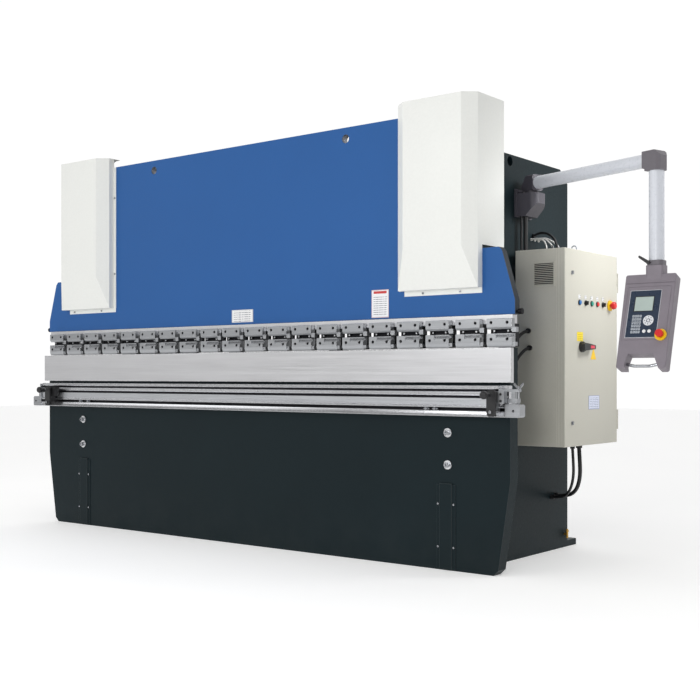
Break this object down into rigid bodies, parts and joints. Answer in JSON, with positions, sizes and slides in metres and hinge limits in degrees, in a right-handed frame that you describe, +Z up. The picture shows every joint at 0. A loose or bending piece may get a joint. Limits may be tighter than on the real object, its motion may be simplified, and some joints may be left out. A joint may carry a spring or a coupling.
{
  "type": "press brake",
  "caption": "Hydraulic press brake with a bed and table, a vertically sliding ram with tool clamps, cylinder covers, a switch cabinet and a swivelling operator pendant.",
  "frame": {"origin": "on the floor under the middle of the bed plate", "axes": "+X along the machine towards the switch cabinet, +Y to the back, +Z up"},
  "size_m": [4.8698, 1.554, 2.64],
  "materials": {
    "frame_green": "satin, light orange peel",
    "ram_blue": "satin",
    "cover_white": "satin",
    "cabinet_beige": "fine texture",
    "ground_steel": "ground",
    "dark_steel": "blackened",
    "chrome": "polished",
    "aluminium": "anodised",
    "black_plastic": "fine grain",
    "pendant_grey": "fine grain",
    "navy_panel": "film",
    "red_plastic": "smooth",
    "green_plastic": "smooth",
    "blue_plastic": "smooth",
    "white_plate": "film",
    "hose_black": "ribbed",
    "pipe_steel": "drawn"
  },
  "bodies": {
    "frame": {"side_frame_left": "frame_green", "side_frame_right": "frame_green", "bed_plate": "frame_green", "table_strip": "ground_steel", "bed_access_strips": "frame_green", "bed_screws": "chrome", "cross_beams": "frame_green", "front_rail": "aluminium", "rail_fittings": "aluminium", "frame_brackets": "dark_steel", "cylinders": "dark_steel", "oil_tank": "frame_green", "pump_motor": "dark_steel", "hydraulic_pipework": "pipe_steel", "backgauge_rails": "ground_steel", "cabinet_body": "cabinet_beige", "cabinet_louver": "black_plastic", "cabinet_internals": "aluminium", "cabinet_cables": "hose_black", "hose_thick": "hose_black", "hose_thin": "hose_black", "arm_bracket": "frame_green"},
    "ram": {"ram_plate": "ram_blue", "ram_tool_bar": "ground_steel", "clamp_bodies": "dark_steel", "upper_clamp_plates": "ground_steel", "lower_clamp_plates": "ground_steel", "clamp_screws": "dark_steel", "clamp_slide_bars": "chrome", "ram_cover_right": "cover_white", "ram_cover_left": "cover_white", "ram_fittings": "chrome", "piston_rods": "chrome", "ram_brackets": "dark_steel"},
    "torsion": {"torsion_shaft": "dark_steel"},
    "gauge": {"backgauge_beam": "aluminium"},
    "finger_left": {"gauge_finger_left": "dark_steel"},
    "finger_right": {"gauge_finger_right": "dark_steel"},
    "carriage_left": {"front_carriage_left": "dark_steel"},
    "carriage_right": {"front_carriage_right": "dark_steel"},
    "knob_left": {"carriage_knob_left": "black_plastic"},
    "knob_right": {"carriage_knob_right": "black_plastic"},
    "door": {"cabinet_door": "cabinet_beige", "door_fittings": "black_plastic"},
    "button_blue": {"push_button_blue": "blue_plastic"},
    "button_green": {"push_button_green": "green_plastic"},
    "button_red": {"push_button_red": "red_plastic"},
    "selector_a": {"selector_left": "black_plastic"},
    "selector_b": {"selector_right": "black_plastic"},
    "door_stop": {"emergency_stop": "red_plastic"},
    "main_switch": {"main_switch_handle": "red_plastic"},
    "lock_top": {"door_lock_top": "chrome"},
    "lock_bottom": {"door_lock_bottom": "chrome"},
    "arm": {"swing_arm": "aluminium", "pendant_column": "aluminium"},
    "clamp_lever": {"pendant_clamp_lever": "black_plastic"},
    "pendant": {"pendant_shell": "pendant_grey", "pendant_panel": "navy_panel", "pendant_handle": "chrome"},
    "pendant_stop": {"pendant_estop": "red_plastic"}
  },
  "joints": [
    {"name": "ram_slide", "type": "slide", "parent": "frame", "child": "ram", "axis": [0, 0, 1], "range_m": [0, 0.15]},
    {"name": "torsion_turn", "type": "hinge", "parent": "frame", "child": "torsion", "pos_m": [0, 0.33, 1.7], "axis": [-1, 0, 0], "range_deg": [0, 40.1]},
    {"name": "gauge_depth", "type": "slide", "parent": "frame", "child": "gauge", "axis": [0, 1, 0], "range_m": [-0.25, 0.4]},
    {"name": "finger_left_side", "type": "slide", "parent": "gauge", "child": "finger_left", "axis": [1, 0, 0], "range_m": [-0.9, 0.38]},
    {"name": "finger_right_side", "type": "slide", "parent": "gauge", "child": "finger_right", "axis": [1, 0, 0], "range_m": [-0.38, 0.9]},
    {"name": "carriage_left_side", "type": "slide", "parent": "frame", "child": "carriage_left", "axis": [1, 0, 0], "range_m": [0, 1.75]},
    {"name": "carriage_right_side", "type": "slide", "parent": "frame", "child": "carriage_right", "axis": [1, 0, 0], "range_m": [-1.75, 0]},
    {"name": "knob_left_turn", "type": "hinge", "parent": "carriage_left", "child": "knob_left", "pos_m": [-1.842, -0.2, 0.986], "axis": [0, 1, 0], "range_deg": [0, 360]},
    {"name": "knob_right_turn", "type": "hinge", "parent": "carriage_right", "child": "knob_right", "pos_m": [1.939, -0.2, 0.986], "axis": [0, 1, 0], "range_deg": [0, 360]},
    {"name": "door_hinge", "type": "hinge", "parent": "frame", "child": "door", "pos_m": [2.047, 1.159, 1.25], "axis": [0, 0, 1], "range_deg": [0, 110]},
    {"name": "press_blue", "type": "slide", "parent": "door", "child": "button_blue", "axis": [-1, 0, 0], "range_m": [0, 0.004], "stiffness_N_per_m": 600, "springref_m": -0.002},
    {"name": "press_green", "type": "slide", "parent": "door", "child": "button_green", "axis": [-1, 0, 0], "range_m": [0, 0.004], "stiffness_N_per_m": 600, "springref_m": -0.002},
    {"name": "press_red", "type": "slide", "parent": "door", "child": "button_red", "axis": [-1, 0, 0], "range_m": [0, 0.004], "stiffness_N_per_m": 600, "springref_m": -0.002},
    {"name": "turn_selector_a", "type": "hinge", "parent": "door", "child": "selector_a", "pos_m": [2.052, 0.719, 1.515], "axis": [1, 0, 0], "range_deg": [-45, 45]},
    {"name": "turn_selector_b", "type": "hinge", "parent": "door", "child": "selector_b", "pos_m": [2.052, 0.949, 1.515], "axis": [1, 0, 0], "range_deg": [-45, 45]},
    {"name": "press_door_stop", "type": "slide", "parent": "door", "child": "door_stop", "axis": [-1, 0, 0], "range_m": [0, 0.006], "stiffness_N_per_m": 900, "springref_m": -0.002},
    {"name": "turn_main_switch", "type": "hinge", "parent": "door", "child": "main_switch", "pos_m": [2.052, 0.665, 1.257], "axis": [1, 0, 0], "range_deg": [0, 90]},
    {"name": "turn_lock_top", "type": "hinge", "parent": "door", "child": "lock_top", "pos_m": [2.052, 0.547, 1.682], "axis": [1, 0, 0], "range_deg": [0, 90]},
    {"name": "turn_lock_bottom", "type": "hinge", "parent": "door", "child": "lock_bottom", "pos_m": [2.052, 0.547, 0.816], "axis": [1, 0, 0], "range_deg": [0, 90]},
    {"name": "arm_swivel", "type": "hinge", "parent": "frame", "child": "arm", "pos_m": [1.775, 0.575, 2.14], "axis": [0, 0, 1], "range_deg": [-50, 18]},
    {"name": "pendant_swivel", "type": "hinge", "parent": "arm", "child": "pendant", "pos_m": [2.665, 0.3, 1.66], "axis": [0, 0, 1], "range_deg": [-60, 60]},
    {"name": "clamp_lever_turn", "type": "hinge", "parent": "arm", "child": "clamp_lever", "pos_m": [2.64053, 0.25572, 1.68], "axis": [-0.0349, 0.9994, 0], "range_deg": [0, 100]},
    {"name": "press_pendant_stop", "type": "slide", "parent": "pendant", "child": "pendant_stop", "axis": [-0.0329, 0.9421, -0.3338], "range_m": [0, 0.006], "stiffness_N_per_m": 900, "springref_m": -0.002}
  ],
  "couplings": [
    {"joint": "torsion_turn", "follows": "ram_slide", "rad_per_m": 4.654}
  ]
}
